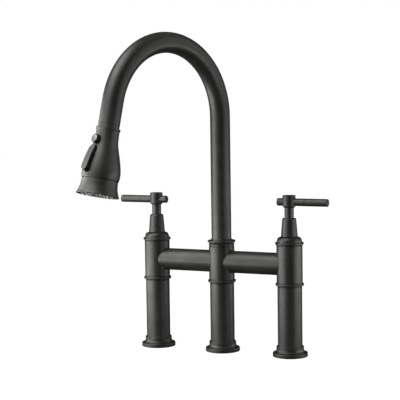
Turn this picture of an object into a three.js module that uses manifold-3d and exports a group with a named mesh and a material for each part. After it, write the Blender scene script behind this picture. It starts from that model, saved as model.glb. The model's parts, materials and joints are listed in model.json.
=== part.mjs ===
// Bridge kitchen faucet: two lever handles, a round bridge, a swivelling gooseneck spout and
// a pull-down spray head. Millimetres, +Z up. The origin is on the deck, on the axis of the
// centre leg. +X runs along the bridge and -Y points at the sink.

import * as THREE from 'three';
import { mergeVertices } from 'three/addons/utils/BufferGeometryUtils.js';
import Module from 'manifold-3d';

const wasm = await Module();
wasm.setup();

// Clearances and roundness
const FIT = 0.3;
const SLOT_FIT = 0.5;
const WELD_TOLERANCE = 1e-4;
const OUTER_SIDES = 18;
const INNER_SIDES = 12;
const SMALL_SIDES = 8;
const OBLONG_STEPS = 6;

// Layout
const LEG_SPACING = 101.6;
const BRIDGE_AXIS_Z = 125.7;

// Legs and their flanges
const LEG_RADIUS = 16.9;
const LEG_BORE = 14;
const LEG_TOP_Z = 95.6;
const FLANGE_RADIUS = 24;
const FLANGE_EDGE = 1.1;
const FLANGE_DISC_HEIGHT = 5.4;
const FLANGE_STEP_RADIUS = 20.5;
const FLANGE_STEP_HEIGHT = 1.1;
const FLANGE_CUFF_RADIUS = 18.8;
const FLANGE_COVE_HEIGHT = 4.4;
const FLANGE_HEIGHT = 14;
const CUFF_ROUNDING = 1.4;
const GASKET_RADIUS = 20.1;
const GASKET_BORE = 18.5;
const GASKET_THICKNESS = 2;

// Posts above the legs
const BEAD_HEIGHT = 5.7;
const BEAD_RADIUS = 19.5;
const BEAD_ROUND = 2.3;
const POST_RADIUS = 17.8;
const NIPPLE_LENGTH = 16;
const VALVE_BODY_TOP_Z = 152;
const BRIDGE_BODY_TOP_Z = 147.4;
const CHAMBER_FLOOR_Z = 113;
const BRIDGE_RADIUS = 15.4;
const BRIDGE_BORE = 13;
const SPIGOT_RADIUS = 10;
const SPIGOT_BORE = 8;
const SPIGOT_REACH = 14.2;
const SPIGOT_SHOULDER = 20;
const SPIGOT_END = 26;

// Water ways
const RISER_RADIUS = 8;
const RISER_BORE = 6;
const RISER_SOCKET = 7;
const MIXED_TUBE_RADIUS = 2.6;
const MIXED_TUBE_BORE = 1.8;
const MIXED_TUBE_OFFSET = 10;
const HOSE_GUIDE_BORE = 6.4;
const HOSE_GUIDE_RADIUS = 8;
const HOSE_GUIDE_TOP_Z = 137;

// Cartridge
const CARTRIDGE_BORE = 13;
const SEAL_THICKNESS = 2;
const SEAL_BORE = 5.6;
const CARTRIDGE_RADIUS = 10.6;
const CARTRIDGE_CAVITY = 8.3;
const CARTRIDGE_CAVITY_HEIGHT = 10.4;
const CARTRIDGE_NECK_HEIGHT = 24.4;
const CARTRIDGE_FLANGE_HEIGHT = 5.7;
const CARTRIDGE_WINDOW = 2.6;
const DISC_THICKNESS = 3.2;
const DISC_PORT = 2.2;
const DISC_PORT_OFFSET = 4.4;
const STEM_RADIUS = 4;
const STEM_DRIVER_HEIGHT = 2.6;
const STEM_TOP_Z = 177;

// Bonnet
const BONNET_BORE = 6.3;
const BONNET_NECK_Z = 157.2;
const BONNET_TOP_RADIUS = 11.3;
const BONNET_DOME_RADIUS = 17;
const BONNET_TOP_Z = 163.8;

// Handle
const SKIRT_BOTTOM_RADIUS = 11.5;
const SKIRT_TOP_RADIUS = 9.4;
const SKIRT_TOP_Z = 189.3;
const SKIRT_ROUNDING = 1.8;
const NECK_RADIUS = 6.4;
const HUB_RADIUS = 8.9;
const HUB_BOTTOM_Z = 203.6;
const HUB_FOOT_RADIUS = 7.4;
const HUB_CHAMFER = 2;
const HUB_TOP_Z = 220.2;
const HUB_TOP_ROUNDING = 0.6;
const LEVER_AXIS_Z = 210.9;
const LEVER_RADIUS = 5.2;
const LEVER_LONG = 56;
const LEVER_SHORT = 16.8;
const LEVER_ROUNDING = 1;
const GRUB_RADIUS = 2.2;
const GRUB_LENGTH = 5.3;
const GRUB_SOCKET = 1.3;
const GRUB_SOCKET_DEPTH = 2;
const GRUB_Z = 171;

// Spout
const SPOUT_TURN = -0.3217;
const SPOUT_RADIUS = 13.85;
const SPOUT_BORE = 11.6;
const SPOUT_BEND_RADIUS = 99.97;
const SPOUT_BEND_Z = 326.65;
const SPOUT_TILT = 0.24;
const SPOUT_TAIL = 31;
const SPOUT_BEND_STEPS = 24;
const SPOUT_SIDES = 18;
const SPOUT_BORE_SIDES = 10;
const GLIDE_THICKNESS = 0.7;
const GLIDE_RADIUS = 16.8;
const COLLAR_FOOT = 1.9;
const COLLAR_BEAD_RADIUS = 19.4;
const COLLAR_BEAD_ROUND = 1.9;
const COLLAR_HEIGHT = 6.9;
const COLLAR_LIP_RADIUS = 14.7;
const COLLAR_LIP_HEIGHT = 2.3;
const SPOUT_SPIGOT_RADIUS = 13.6;
const SPOUT_SPIGOT_BORE = 8.5;
const SPOUT_SPIGOT_RISE = 13.6;
const O_RING_GROOVE = 1.8;
const O_RING_GROOVE_WIDTH = 2.6;
const O_RING_WIRE = 0.7;
const O_RING_STEPS = [2.8, 6.8];
const DOCK_TOP = 6;
const DOCK_BORE = 9;

// Hose
const HOSE_RADIUS = 4.75;
const HOSE_SIDES = 8;
const HOSE_FOOT_Z = 6.3;
const HOSE_FITTING_RADIUS = 6.9;
const HOSE_FITTING_HEIGHT = 16;
const HOSE_NUT_RADIUS = 8.6;
const HOSE_NUT_TOP = 10;
const HOSE_NUT_SOCKET = 14;
const WATER_BORE = 3.5;

// Spray head, measured down its own axis from the end of the spout's bend
const GRIP_NECK_RADIUS = 13.7;
const GRIP_LIP_RADIUS = 15.6;
const GRIP_LIP = 36.8;
const GRIP_LIP_ROUND = 1.5;
const GRIP_OUTLINE = [
  [14.6, 40],
  [15.1, 50],
  [17.6, 62.5],
  [21.5, 76],
  [24.2, 88],
  [24.5, 96],
  [23.5, 102],
];
const GRIP_OUTLINE_STEPS = 9;
const GRIP_WALL = 3;
const GRIP_SIDES = 18;
const GRIP_MOUTH = 21.4;
const GRIP_FLOOR = 45.2;
const CORE_RADIUS = 9;
const CORE_FLANGE = 1.4;
const CORE_FLANGE_RADIUS = 11.4;
const CORE_PLATE_TOP = 97.8;
const CORE_PLATE_BOTTOM = 99.6;
const BELL_OUTLINE = [
  [23.2, 103],
  [23.4, 107],
  [23.9, 111.4],
  [25.2, 116],
  [26.2, 119],
  [27.7, 121.7],
];
const BELL_OUTLINE_STEPS = 5;
const BELL_WALL = 2;
const BELL_SPIGOT_WALL = 1.8;
const FACE_RADIUS = 25.4;
const FACE_BACK = 119.5;
const FACE_EDGE = 1.7;
const FACE_CROWN = 1.2;
const AERATOR_RADIUS = 7;
const AERATOR_LENGTH = 9;
const AERATOR_WALL = 1.4;
const NOZZLE_COUNT = 12;
const NOZZLE_CIRCLE = 19;
const NOZZLE_RADIUS = 1.2;
const NOZZLE_SIDES = 6;
const NOZZLE_TIP = 123;
const NOZZLE_PLATE_RADIUS = 22.2;
const NOZZLE_PLATE_BORE = 14;
const NOZZLE_PLATE_THICKNESS = 1.7;

// Button and rocker in the front of the grip
const BUTTON_AT = 53;
const BUTTON_DEPTH = 15.45;
const BUTTON_LEAN = 0.14;
const BUTTON_RADIUS = 5.8;
const BUTTON_PROUD = 5;
const BUTTON_SUNK = 2.6;
const BUTTON_HOLE_DEPTH = 6;
const BUTTON_ROUNDING = 0.7;
const BUTTON_STEM_RADIUS = 2;
const BUTTON_STEM_LENGTH = 5.5;
const SPRING_RADIUS = 3.2;
const SPRING_WIRE = 0.35;
const SPRING_LENGTH = 2.6;
const SPRING_TURNS = 2;
const SPRING_STEPS = 24;
const SPRING_SIDES = 5;
const ROCKER_AT = 79;
const ROCKER_LEAN = 0.31;
const ROCKER_HALF_WIDTH = 5;
const ROCKER_LENGTH = 36;
const ROCKER_PROUD = 7.2;
const ROCKER_SUNK = 2.4;
const ROCKER_ROUNDING = 0.9;
const SLOT_DEPTH = 9.8;
const PIN_DEPTH = 19.6;
const PIN_RADIUS = 0.9;
const PIN_HALF_LENGTH = 6.7;

// Finishes
function finish(color, roughness, metalness) {
  return new THREE.MeshStandardMaterial({ color, roughness, metalness });
}

const MATTE_BLACK = finish(0x2e2d2b, 0.42, 0.3);
const DARK_PLASTIC = finish(0x1c1c1c, 0.55, 0);
const GREY_RUBBER = finish(0x8f9193, 0.8, 0);
const BLACK_RUBBER = finish(0x151515, 0.9, 0);
const BRASS = finish(0xb08d4a, 0.35, 0.9);
const CERAMIC = finish(0xe8e6df, 0.3, 0);
const STEEL = finish(0x9a9a98, 0.3, 0.9);
const BRAIDED_NYLON = finish(0x3a3a3c, 0.7, 0);
const BUTTON_GREY = finish(0x5a5a59, 0.35, 0.2);

// Solids -----------------------------------------------------------------------------------

function toSolid(geometry) {
  const bare = geometry.clone();
  bare.deleteAttribute('normal');
  bare.deleteAttribute('uv');
  const merged = mergeVertices(bare, WELD_TOLERANCE);
  const corners = merged.index.array;
  const faces = [];
  for (let i = 0; i < corners.length; i += 3) {
    const [a, b, c] = [corners[i], corners[i + 1], corners[i + 2]];
    if (a !== b && b !== c && c !== a) faces.push(a, b, c);
  }
  const vertProperties = new Float32Array(merged.attributes.position.array);
  const triVerts = new Uint32Array(faces);
  return new wasm.Manifold(new wasm.Mesh({ numProp: 3, vertProperties, triVerts }));
}

function toGeometry(solid) {
  const mesh = solid.getMesh();
  const geometry = new THREE.BufferGeometry();
  geometry.setAttribute('position', new THREE.BufferAttribute(mesh.vertProperties, 3));
  geometry.setIndex(new THREE.BufferAttribute(mesh.triVerts, 1));
  geometry.computeVertexNormals();
  return geometry;
}

function carve(base, ...tools) {
  return toGeometry(tools.reduce((solid, tool) => solid.subtract(toSolid(tool)), toSolid(base)));
}

function weld(base, ...more) {
  return toGeometry(more.reduce((solid, piece) => solid.add(toSolid(piece)), toSolid(base)));
}

// A turned piece about Z. The section's [radius, height] corners run anticlockwise.
function turned(section, sides = OUTER_SIDES) {
  const points = section.map(([radius, height]) => new THREE.Vector2(radius, height));
  if (section[0][0] > 0) points.push(points[0].clone());
  return new THREE.LatheGeometry(points, sides).rotateX(Math.PI / 2);
}

// The same with depths measured downwards, for the spray head.
function turnedDown(section, sides) {
  return turned(section.map(([radius, depth]) => [radius, -depth]), sides);
}

function ring(outer, inner, low, high, sides) {
  return turned([[inner, low], [outer, low], [outer, high], [inner, high]], sides);
}

function rod(radius, low, high, sides) {
  return turned([[0, low], [radius, low], [radius, high], [0, high]], sides);
}

const alongX = (geometry) => geometry.rotateY(Math.PI / 2);
const alongY = (geometry) => geometry.rotateX(-Math.PI / 2);

// Points of an elliptic arc in a section, from one angle to another in degrees.
function bow(radius, height, acrossBy, upBy, from, to, steps) {
  return Array.from({ length: steps + 1 }, (_, i) => {
    const angle = THREE.MathUtils.degToRad(from + ((to - from) * i) / steps);
    return [radius + acrossBy * Math.cos(angle), height + upBy * Math.sin(angle)];
  });
}

// A section's outer top corner, cut back by the same amount both ways.
function rounding(radius, height, cut) {
  return bow(radius - cut, height - cut, cut, cut, 0, 90, 1);
}

// Points of a smooth outline through a few corners.
function smoothOutline(corners, steps) {
  const points = corners.map(([radius, depth]) => new THREE.Vector2(radius, depth));
  return new THREE.SplineCurve(points).getPoints(steps).map((point) => [point.x, point.y]);
}

function oblong(halfWidth, length) {
  const straight = length / 2 - halfWidth;
  const shape = new THREE.Shape();
  shape.absarc(0, straight, halfWidth, 0, Math.PI);
  shape.absarc(0, -straight, halfWidth, Math.PI, 2 * Math.PI);
  return shape;
}

function circle(radius, sides, Kind = THREE.Shape) {
  return new Kind(Array.from({ length: sides }, (_, i) => {
    const angle = (2 * Math.PI * i) / sides;
    return new THREE.Vector2(radius * Math.cos(angle), radius * Math.sin(angle));
  }));
}

function piece(name, geometry, material) {
  const mesh = new THREE.Mesh(geometry, material);
  mesh.name = name;
  return mesh;
}

function groupOf(...children) {
  return new THREE.Group().add(...children);
}

// Legs -------------------------------------------------------------------------------------

const BEAD_BOTTOM_Z = LEG_TOP_Z + FIT;
const BODY_BOTTOM_Z = BEAD_BOTTOM_Z + BEAD_HEIGHT + FIT;
const NIPPLE_RADIUS = LEG_BORE - FIT;
const NIPPLE_BOTTOM_Z = BODY_BOTTOM_Z - NIPPLE_LENGTH;

function baseFlange() {
  const bore = LEG_RADIUS + FIT;
  const grooveDepth = GASKET_THICKNESS + FIT;
  const stepTop = FLANGE_DISC_HEIGHT + FLANGE_STEP_HEIGHT;
  const coveWidth = FLANGE_STEP_RADIUS - FLANGE_CUFF_RADIUS;
  return turned([
    [bore, 0],
    [GASKET_BORE - FIT, 0],
    [GASKET_BORE - FIT, grooveDepth],
    [GASKET_RADIUS + FIT, grooveDepth],
    [GASKET_RADIUS + FIT, 0],
    [FLANGE_RADIUS - FLANGE_EDGE / 2, 0],
    [FLANGE_RADIUS, FLANGE_EDGE / 2],
    ...rounding(FLANGE_RADIUS, FLANGE_DISC_HEIGHT, FLANGE_EDGE),
    [FLANGE_STEP_RADIUS, FLANGE_DISC_HEIGHT],
    ...bow(FLANGE_STEP_RADIUS, stepTop + FLANGE_COVE_HEIGHT, -coveWidth, -FLANGE_COVE_HEIGHT, 90, 0, 2),
    ...rounding(FLANGE_CUFF_RADIUS, FLANGE_HEIGHT, CUFF_ROUNDING),
    [bore, FLANGE_HEIGHT],
  ]);
}

function beadRing() {
  const middle = BEAD_BOTTOM_Z + BEAD_HEIGHT / 2;
  return turned([
    [LEG_BORE, BEAD_BOTTOM_Z],
    [LEG_RADIUS, BEAD_BOTTOM_Z],
    ...bow(BEAD_RADIUS - BEAD_ROUND, middle, BEAD_ROUND, BEAD_ROUND, -60, 60, 2),
    [POST_RADIUS - FIT, BEAD_BOTTOM_Z + BEAD_HEIGHT],
    [LEG_BORE, BEAD_BOTTOM_Z + BEAD_HEIGHT],
  ]);
}

function legPieces(side) {
  return [
    piece(`base_flange_${side}`, baseFlange(), MATTE_BLACK),
    piece(`deck_gasket_${side}`, ring(GASKET_RADIUS, GASKET_BORE, 0, GASKET_THICKNESS), BLACK_RUBBER),
    piece(`lower_leg_${side}`, ring(LEG_RADIUS, LEG_BORE, 0, LEG_TOP_Z), MATTE_BLACK),
    piece(`bead_ring_${side}`, beadRing(), MATTE_BLACK),
  ];
}

// Bridge -----------------------------------------------------------------------------------

// The hole for a bridge tube's spigot, through the post's wall on the +X side.
function bridgeSocket(from) {
  return alongX(rod(SPIGOT_RADIUS + FIT, from, LEG_SPACING / 2)).translate(0, 0, BRIDGE_AXIS_Z);
}

// A bridge tube lies along +X between two posts, with its ends cut to their round walls.
function bridgeTube() {
  const sleeve = alongX(ring(BRIDGE_RADIUS, BRIDGE_BORE, 0, LEG_SPACING));
  const post = rod(POST_RADIUS + FIT, -POST_RADIUS, POST_RADIUS);
  const farPost = post.clone().translate(LEG_SPACING, 0, 0);
  const spigot = alongX(turned([
    [SPIGOT_BORE, SPIGOT_REACH],
    [SPIGOT_RADIUS, SPIGOT_REACH],
    [SPIGOT_RADIUS, SPIGOT_SHOULDER],
    [BRIDGE_BORE + FIT, SPIGOT_SHOULDER],
    [BRIDGE_BORE + FIT, SPIGOT_END],
    [SPIGOT_BORE, SPIGOT_END],
  ]));
  const farSpigot = spigot.clone().rotateZ(Math.PI).translate(LEG_SPACING, 0, 0);
  return weld(carve(sleeve, post, farPost), spigot, farSpigot).translate(0, 0, BRIDGE_AXIS_Z);
}

function bridgeBody() {
  const casting = turned([
    [HOSE_GUIDE_BORE, NIPPLE_BOTTOM_Z],
    [NIPPLE_RADIUS, NIPPLE_BOTTOM_Z],
    [NIPPLE_RADIUS, BODY_BOTTOM_Z],
    [POST_RADIUS, BODY_BOTTOM_Z],
    [POST_RADIUS, BRIDGE_BODY_TOP_Z],
    [SPOUT_SPIGOT_RADIUS + FIT, BRIDGE_BODY_TOP_Z],
    [SPOUT_SPIGOT_RADIUS + FIT, CHAMBER_FLOOR_Z],
    [HOSE_GUIDE_RADIUS, CHAMBER_FLOOR_Z],
    [HOSE_GUIDE_RADIUS, HOSE_GUIDE_TOP_Z],
    [HOSE_GUIDE_BORE, HOSE_GUIDE_TOP_Z],
  ]);
  const outlet = rod(MIXED_TUBE_RADIUS + FIT, 0, CHAMBER_FLOOR_Z + FIT, SMALL_SIDES);
  outlet.translate(0, MIXED_TUBE_OFFSET, 0);
  const socket = bridgeSocket(HOSE_GUIDE_RADIUS + FIT);
  return carve(casting, outlet, socket, socket.clone().rotateZ(Math.PI));
}

function mixedWaterTube() {
  const tube = ring(MIXED_TUBE_RADIUS, MIXED_TUBE_BORE, 0, CHAMBER_FLOOR_Z - FIT, SMALL_SIDES);
  return tube.translate(0, MIXED_TUBE_OFFSET, 0);
}

// End posts --------------------------------------------------------------------------------

const SEAT_FLOOR_Z = CHAMBER_FLOOR_Z - RISER_SOCKET;
const SEAL_BOTTOM_Z = CHAMBER_FLOOR_Z + FIT;
const CARTRIDGE_BOTTOM_Z = SEAL_BOTTOM_Z + SEAL_THICKNESS + FIT;
const CARTRIDGE_SHOULDER_Z = CARTRIDGE_BOTTOM_Z + CARTRIDGE_CAVITY_HEIGHT;
const CARTRIDGE_FLANGE_Z = CARTRIDGE_BOTTOM_Z + CARTRIDGE_NECK_HEIGHT;
const CARTRIDGE_TOP_Z = CARTRIDGE_FLANGE_Z + CARTRIDGE_FLANGE_HEIGHT;
const MOVING_DISC_Z = CARTRIDGE_BOTTOM_Z + DISC_THICKNESS + FIT;
const DRIVER_Z = MOVING_DISC_Z + DISC_THICKNESS + FIT;
const DISC_RADIUS = CARTRIDGE_CAVITY - FIT;

// The socket for the bridge tube faces +X.
function valveBody() {
  const casting = turned([
    [RISER_RADIUS + FIT, NIPPLE_BOTTOM_Z],
    [NIPPLE_RADIUS, NIPPLE_BOTTOM_Z],
    [NIPPLE_RADIUS, BODY_BOTTOM_Z],
    [POST_RADIUS, BODY_BOTTOM_Z],
    [POST_RADIUS, VALVE_BODY_TOP_Z],
    [CARTRIDGE_BORE, VALVE_BODY_TOP_Z],
    [CARTRIDGE_BORE, CHAMBER_FLOOR_Z],
    [RISER_BORE, CHAMBER_FLOOR_Z],
    [RISER_BORE, SEAT_FLOOR_Z],
    [RISER_RADIUS + FIT, SEAT_FLOOR_Z],
  ]);
  return carve(casting, bridgeSocket(0));
}

function cartridgeBody() {
  const shell = turned([
    [CARTRIDGE_CAVITY, CARTRIDGE_BOTTOM_Z],
    [CARTRIDGE_RADIUS, CARTRIDGE_BOTTOM_Z],
    [CARTRIDGE_RADIUS, CARTRIDGE_FLANGE_Z],
    [CARTRIDGE_BORE - FIT, CARTRIDGE_FLANGE_Z],
    [CARTRIDGE_BORE - FIT, CARTRIDGE_TOP_Z],
    [STEM_RADIUS + FIT, CARTRIDGE_TOP_Z],
    [STEM_RADIUS + FIT, CARTRIDGE_SHOULDER_Z],
    [CARTRIDGE_CAVITY, CARTRIDGE_SHOULDER_Z],
  ], INNER_SIDES);
  const window = alongX(rod(CARTRIDGE_WINDOW, -CARTRIDGE_BORE, CARTRIDGE_BORE, SMALL_SIDES));
  return carve(shell, window.translate(0, 0, MOVING_DISC_Z));
}

// A ceramic disc with two ports, which line up with the other disc's when the valve is open.
function ceramicDisc(low) {
  const disc = rod(DISC_RADIUS, low, low + DISC_THICKNESS, INNER_SIDES);
  const port = rod(DISC_PORT, low - FIT, low + DISC_THICKNESS + FIT, SMALL_SIDES);
  port.translate(DISC_PORT_OFFSET, 0, 0);
  return carve(disc, port, port.clone().rotateZ(Math.PI));
}

function cartridgeStem() {
  return turned([
    [0, DRIVER_Z],
    [DISC_RADIUS, DRIVER_Z],
    [DISC_RADIUS, DRIVER_Z + STEM_DRIVER_HEIGHT],
    [STEM_RADIUS, DRIVER_Z + STEM_DRIVER_HEIGHT],
    [STEM_RADIUS, STEM_TOP_Z],
    [0, STEM_TOP_Z],
  ], INNER_SIDES);
}

function bonnet() {
  const foot = VALVE_BODY_TOP_Z + FIT;
  const beadZ = foot + BEAD_ROUND + FIT;
  return turned([
    [BONNET_BORE, CARTRIDGE_TOP_Z + FIT],
    [CARTRIDGE_BORE - FIT, CARTRIDGE_TOP_Z + FIT],
    [CARTRIDGE_BORE - FIT, foot],
    ...bow(BEAD_RADIUS - BEAD_ROUND, beadZ, BEAD_ROUND, BEAD_ROUND, -60, 60, 2),
    ...bow(BONNET_TOP_RADIUS, BONNET_NECK_Z, BONNET_DOME_RADIUS - BONNET_TOP_RADIUS,
      BONNET_TOP_Z - BONNET_NECK_Z, 8, 90, 3),
    [BONNET_BORE, BONNET_TOP_Z],
  ]);
}

function endPostPieces(side) {
  const sealTop = SEAL_BOTTOM_Z + SEAL_THICKNESS;
  const seal = ring(CARTRIDGE_RADIUS, SEAL_BORE, SEAL_BOTTOM_Z, sealTop, INNER_SIDES);
  const riser = ring(RISER_RADIUS, RISER_BORE, 0, SEAT_FLOOR_Z - FIT, INNER_SIDES);
  return [
    ...legPieces(side),
    piece(`valve_body_${side}`, valveBody(), MATTE_BLACK),
    piece(`bonnet_${side}`, bonnet(), MATTE_BLACK),
    piece(`supply_riser_${side}`, riser, BRASS),
    piece(`seat_seal_${side}`, seal, BLACK_RUBBER),
    piece(`cartridge_body_${side}`, cartridgeBody(), DARK_PLASTIC),
    piece(`fixed_disc_${side}`, ceramicDisc(CARTRIDGE_BOTTOM_Z), CERAMIC),
  ];
}

// Handles ----------------------------------------------------------------------------------

const SKIRT_BOTTOM_Z = BONNET_TOP_Z + FIT;
const STUD_BOTTOM_Z = STEM_TOP_Z + FIT;

function handleSkirt() {
  const bore = STEM_RADIUS + FIT;
  const roundingZ = SKIRT_TOP_Z - SKIRT_ROUNDING;
  const cone = turned([
    [bore, SKIRT_BOTTOM_Z],
    [SKIRT_BOTTOM_RADIUS, SKIRT_BOTTOM_Z],
    ...bow(SKIRT_TOP_RADIUS - SKIRT_ROUNDING, roundingZ, SKIRT_ROUNDING, SKIRT_ROUNDING, 0, 90, 2),
    [bore, SKIRT_TOP_Z],
  ]);
  const screwHole = alongY(rod(GRUB_RADIUS + FIT, 0, SKIRT_BOTTOM_RADIUS + FIT, SMALL_SIDES));
  return carve(cone, screwHole.translate(0, 0, GRUB_Z));
}

function grubScrew() {
  const near = STEM_RADIUS + FIT;
  const screw = rod(GRUB_RADIUS, near, near + GRUB_LENGTH, SMALL_SIDES);
  const far = near + GRUB_LENGTH;
  const socket = rod(GRUB_SOCKET, far - GRUB_SOCKET_DEPTH, far + FIT, NOZZLE_SIDES);
  return alongY(carve(screw, socket)).translate(0, 0, GRUB_Z);
}

function handleHub() {
  const neckZ = SKIRT_TOP_Z + FIT;
  const hub = turned([
    [0, STUD_BOTTOM_Z],
    [STEM_RADIUS, STUD_BOTTOM_Z],
    [STEM_RADIUS, neckZ],
    [NECK_RADIUS, neckZ],
    [NECK_RADIUS, HUB_BOTTOM_Z],
    [HUB_FOOT_RADIUS, HUB_BOTTOM_Z],
    [HUB_RADIUS, HUB_BOTTOM_Z + HUB_CHAMFER],
    [HUB_RADIUS, HUB_TOP_Z - HUB_TOP_ROUNDING],
    [HUB_RADIUS - HUB_TOP_ROUNDING, HUB_TOP_Z],
    [0, HUB_TOP_Z],
  ]);
  const crossBore = alongX(rod(LEVER_RADIUS + FIT, -HUB_RADIUS - FIT, HUB_RADIUS + FIT));
  return carve(hub, crossBore.translate(0, 0, LEVER_AXIS_Z));
}

// The lever's long arm points along +X.
function leverRod() {
  const across = LEVER_RADIUS - LEVER_ROUNDING;
  return alongX(turned([
    [0, -LEVER_SHORT],
    ...bow(across, LEVER_ROUNDING - LEVER_SHORT, LEVER_ROUNDING, LEVER_ROUNDING, -90, 0, 1),
    ...bow(across, LEVER_LONG - LEVER_ROUNDING, LEVER_ROUNDING, LEVER_ROUNDING, 0, 90, 1),
    [0, LEVER_LONG],
  ])).translate(0, 0, LEVER_AXIS_Z);
}

function handlePieces(side, outward) {
  const lever = leverRod().rotateZ(outward > 0 ? 0 : Math.PI);
  return [
    piece(`moving_disc_${side}`, ceramicDisc(MOVING_DISC_Z).rotateZ(Math.PI / 2), CERAMIC),
    piece(`cartridge_stem_${side}`, cartridgeStem(), BRASS),
    piece(`handle_skirt_${side}`, handleSkirt(), MATTE_BLACK),
    piece(`handle_hub_${side}`, handleHub(), MATTE_BLACK),
    piece(`lever_rod_${side}`, lever, MATTE_BLACK),
    piece(`grub_screw_${side}`, grubScrew(), STEEL),
  ];
}

// Spout, drawn pointing along -Y -----------------------------------------------------------

const GLIDE_BOTTOM_Z = BRIDGE_BODY_TOP_Z + FIT;
const COLLAR_BOTTOM_Z = GLIDE_BOTTOM_Z + GLIDE_THICKNESS + FIT;
const SPIGOT_BOTTOM_Z = HOSE_GUIDE_TOP_Z + FIT;
const SPIGOT_TOP_Z = COLLAR_BOTTOM_Z + SPOUT_SPIGOT_RISE;
const BEND_ANGLE = Math.PI - SPOUT_TILT;

// The spout's centre line: up, round the bend and down the tail. Its steps follow the bend,
// because the straight ends need only one each.
class SpoutLine extends THREE.Curve {
  constructor(footZ, tail) {
    super();
    this.footZ = footZ;
    this.tail = tail;
  }

  getPoint(t, target = new THREE.Vector3()) {
    const step = t * (SPOUT_BEND_STEPS + 2) - 1;
    const angle = BEND_ANGLE * THREE.MathUtils.clamp(step / SPOUT_BEND_STEPS, 0, 1);
    const before = Math.max(0, -step) * (SPOUT_BEND_Z - this.footZ);
    const after = Math.max(0, step - SPOUT_BEND_STEPS) * this.tail;
    const y = SPOUT_BEND_RADIUS * (Math.cos(angle) - 1) - after * Math.sin(SPOUT_TILT);
    const z = SPOUT_BEND_Z + SPOUT_BEND_RADIUS * Math.sin(angle) - before - after * Math.cos(SPOUT_TILT);
    return target.set(0, y, z);
  }

  getUtoTmapping(u) {
    return u;
  }
}

function alongSpout(shape, footZ, tail) {
  const extrudePath = new SpoutLine(footZ, tail);
  return new THREE.ExtrudeGeometry(shape, { steps: SPOUT_BEND_STEPS + 2, extrudePath });
}

function gooseneck() {
  const section = circle(SPOUT_RADIUS, SPOUT_SIDES);
  const boreCorner = SPOUT_BORE / Math.cos(Math.PI / SPOUT_BORE_SIDES);
  section.holes.push(circle(boreCorner, SPOUT_BORE_SIDES, THREE.Path));
  return alongSpout(section, COLLAR_BOTTOM_Z, SPOUT_TAIL);
}

function sprayHose() {
  return alongSpout(circle(HOSE_RADIUS, HOSE_SIDES), HOSE_FOOT_Z, HOSE_NUT_TOP + HOSE_NUT_SOCKET - FIT);
}

function spoutCollar() {
  const bore = SPOUT_RADIUS + FIT;
  const footTop = COLLAR_BOTTOM_Z + COLLAR_FOOT;
  const top = COLLAR_BOTTOM_Z + COLLAR_HEIGHT;
  const rise = COLLAR_BEAD_ROUND;
  const beadZ = top - rise;
  return turned([
    [bore, COLLAR_BOTTOM_Z],
    [POST_RADIUS, COLLAR_BOTTOM_Z],
    [POST_RADIUS, footTop],
    ...bow(COLLAR_BEAD_RADIUS - rise, beadZ, rise, rise, -30, 90, 3),
    [COLLAR_LIP_RADIUS, top],
    [bore + FIT, top + COLLAR_LIP_HEIGHT],
    [bore, top + COLLAR_LIP_HEIGHT],
  ]);
}

function spoutSpigot() {
  const radius = SPOUT_SPIGOT_RADIUS;
  const grooves = O_RING_STEPS.flatMap((step) => {
    const middle = SPIGOT_BOTTOM_Z + step;
    const half = O_RING_GROOVE_WIDTH / 2;
    return [
      [radius, middle - half],
      [radius - O_RING_GROOVE, middle - half],
      [radius - O_RING_GROOVE, middle + half],
      [radius, middle + half],
    ];
  });
  const shoulder = COLLAR_BOTTOM_Z - FIT;
  return turned([
    [SPOUT_SPIGOT_BORE, SPIGOT_BOTTOM_Z],
    [radius, SPIGOT_BOTTOM_Z],
    ...grooves,
    [radius, shoulder],
    [SPOUT_BORE - FIT, shoulder],
    [SPOUT_BORE - FIT, SPIGOT_TOP_Z],
    [SPOUT_SPIGOT_BORE, SPIGOT_TOP_Z],
  ]);
}

function oRing(step) {
  const middle = SPOUT_SPIGOT_RADIUS - O_RING_GROOVE + FIT + O_RING_WIRE;
  return new THREE.TorusGeometry(middle, O_RING_WIRE, SPRING_SIDES, OUTER_SIDES)
    .translate(0, 0, SPIGOT_BOTTOM_Z + step);
}

// Spray head, in its own frame: down its axis is -Z and its front is -Y --------------------

const BORE_IN_GRIP = HOSE_NUT_RADIUS + FIT;
const CORE_TOP = GRIP_FLOOR + FIT;
const GRIP_END = GRIP_OUTLINE.at(-1)[1];
const BELL_TOP = GRIP_END + FIT;
const CORE_PLATE_RADIUS = GRIP_MOUTH - FIT;
const BELL_SPIGOT_TOP = CORE_PLATE_BOTTOM + FIT;
const NOZZLE_PLATE_BOTTOM = FACE_BACK - FIT;
const NOZZLE_PLATE_TOP = NOZZLE_PLATE_BOTTOM - NOZZLE_PLATE_THICKNESS;

function sprayGripShell() {
  const outside = smoothOutline(GRIP_OUTLINE, GRIP_OUTLINE_STEPS);
  const inside = outside.filter(([, depth]) => depth > GRIP_FLOOR && depth < CORE_PLATE_TOP - GRIP_WALL);
  const cavity = inside.map(([radius, depth]) => [radius - GRIP_WALL, depth]);
  const [throat] = cavity[0];
  const neckTop = SPOUT_TAIL + FIT;
  return turnedDown([
    [GRIP_MOUTH, GRIP_END],
    ...outside.toReversed(),
    [GRIP_LIP_RADIUS, GRIP_LIP + GRIP_LIP_ROUND / 2],
    [GRIP_LIP_RADIUS, GRIP_LIP],
    [GRIP_NECK_RADIUS, GRIP_LIP - GRIP_LIP_ROUND],
    [GRIP_NECK_RADIUS, neckTop],
    [BORE_IN_GRIP, neckTop],
    [BORE_IN_GRIP, GRIP_FLOOR],
    [throat, GRIP_FLOOR],
    ...cavity,
    [GRIP_MOUTH, CORE_PLATE_TOP - GRIP_WALL],
  ], GRIP_SIDES);
}

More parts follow.
